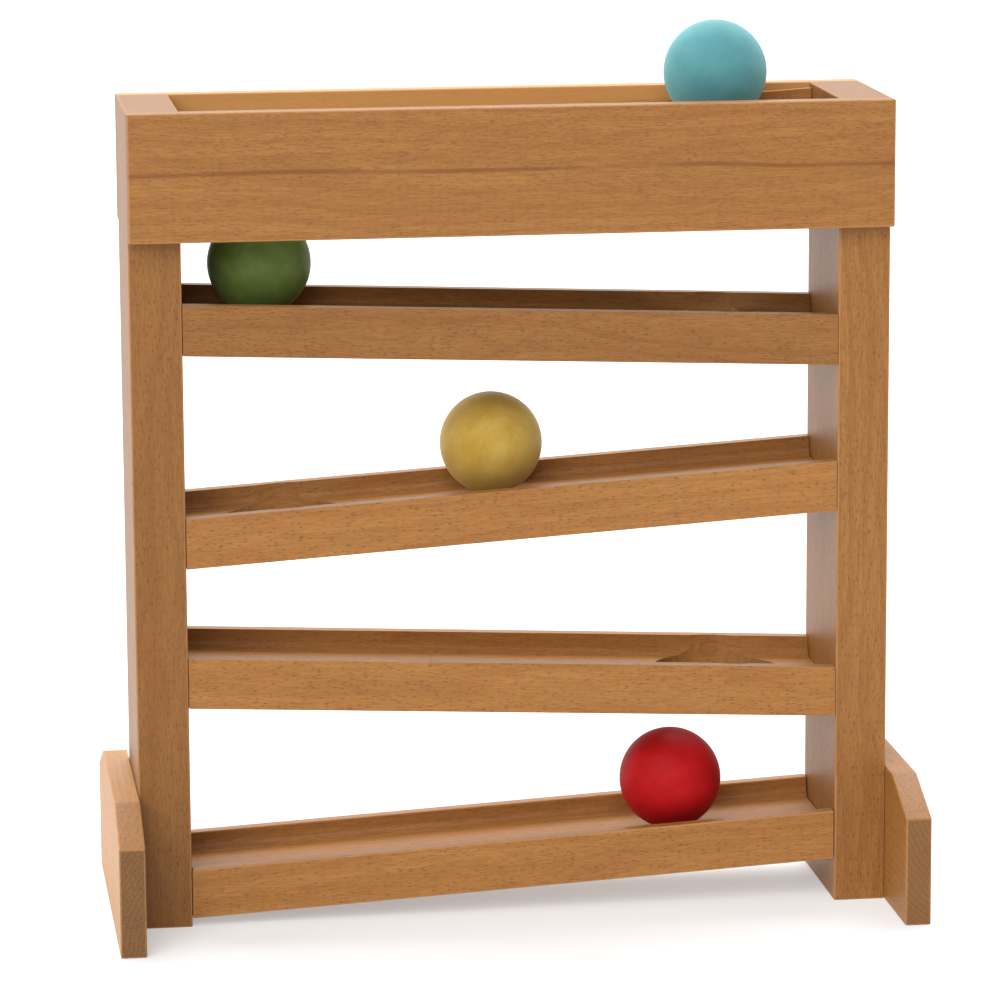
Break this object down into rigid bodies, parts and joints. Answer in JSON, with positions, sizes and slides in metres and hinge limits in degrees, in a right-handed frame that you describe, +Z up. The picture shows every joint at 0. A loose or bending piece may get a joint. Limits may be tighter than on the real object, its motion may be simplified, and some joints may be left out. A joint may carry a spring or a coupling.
{
  "type": "marble run",
  "caption": "Wooden marble run: sloping grooved tracks between two posts on foot boards, with drop holes, top aprons and large coloured balls.",
  "frame": {"origin": "on the floor, midway between the posts and midway front to back", "axes": "+X along the tracks towards the right-hand post, +Y towards the back, +Z up"},
  "size_m": [0.39, 0.175, 0.4295],
  "materials": {
    "beech": "satin oiled beech with fine pores",
    "dowel_beech": "plain beech dowel",
    "turquoise_stain": "matt turquoise stain",
    "green_stain": "satin olive green stain",
    "yellow_stain": "satin amber yellow stain",
    "red_stain": "satin red stain"
  },
  "bodies": {
    "frame": {"post_left": "beech", "post_right": "beech", "apron_front": "beech", "apron_back": "beech", "track_1": "beech", "track_2": "beech", "track_3": "beech", "track_4": "beech", "track_5": "beech", "foot_left": "beech", "foot_right": "beech", "track_1_dowels": "dowel_beech", "track_2_dowels": "dowel_beech", "track_3_dowels": "dowel_beech", "track_4_dowels": "dowel_beech", "track_5_dowels": "dowel_beech", "apron_front_dowels": "dowel_beech", "apron_back_dowels": "dowel_beech", "foot_left_dowels": "dowel_beech", "foot_right_dowels": "dowel_beech"},
    "turquoise_ball": {"ball_turquoise": "turquoise_stain"},
    "green_ball": {"ball_green": "green_stain"},
    "yellow_ball": {"ball_yellow": "yellow_stain"},
    "red_ball": {"ball_red": "red_stain"}
  },
  "joints": [
    {"name": "turquoise_ball_travel", "type": "slide", "parent": "frame", "child": "turquoise_ball", "axis": [-0.9982, 0, -0.0602], "range_m": [-0.02766, 0.18033]},
    {"name": "green_ball_travel", "type": "slide", "parent": "frame", "child": "green_ball", "axis": [0.9992, 0, -0.0397], "range_m": [-0.01481, 0.19265]},
    {"name": "yellow_ball_travel", "type": "slide", "parent": "frame", "child": "yellow_ball", "axis": [-0.9982, 0, -0.0602], "range_m": [-0.13736, 0.07063]},
    {"name": "red_ball_travel", "type": "slide", "parent": "frame", "child": "red_ball", "axis": [-0.9985, 0, -0.0539], "range_m": [-0.05059, 0.21419]}
  ]
}
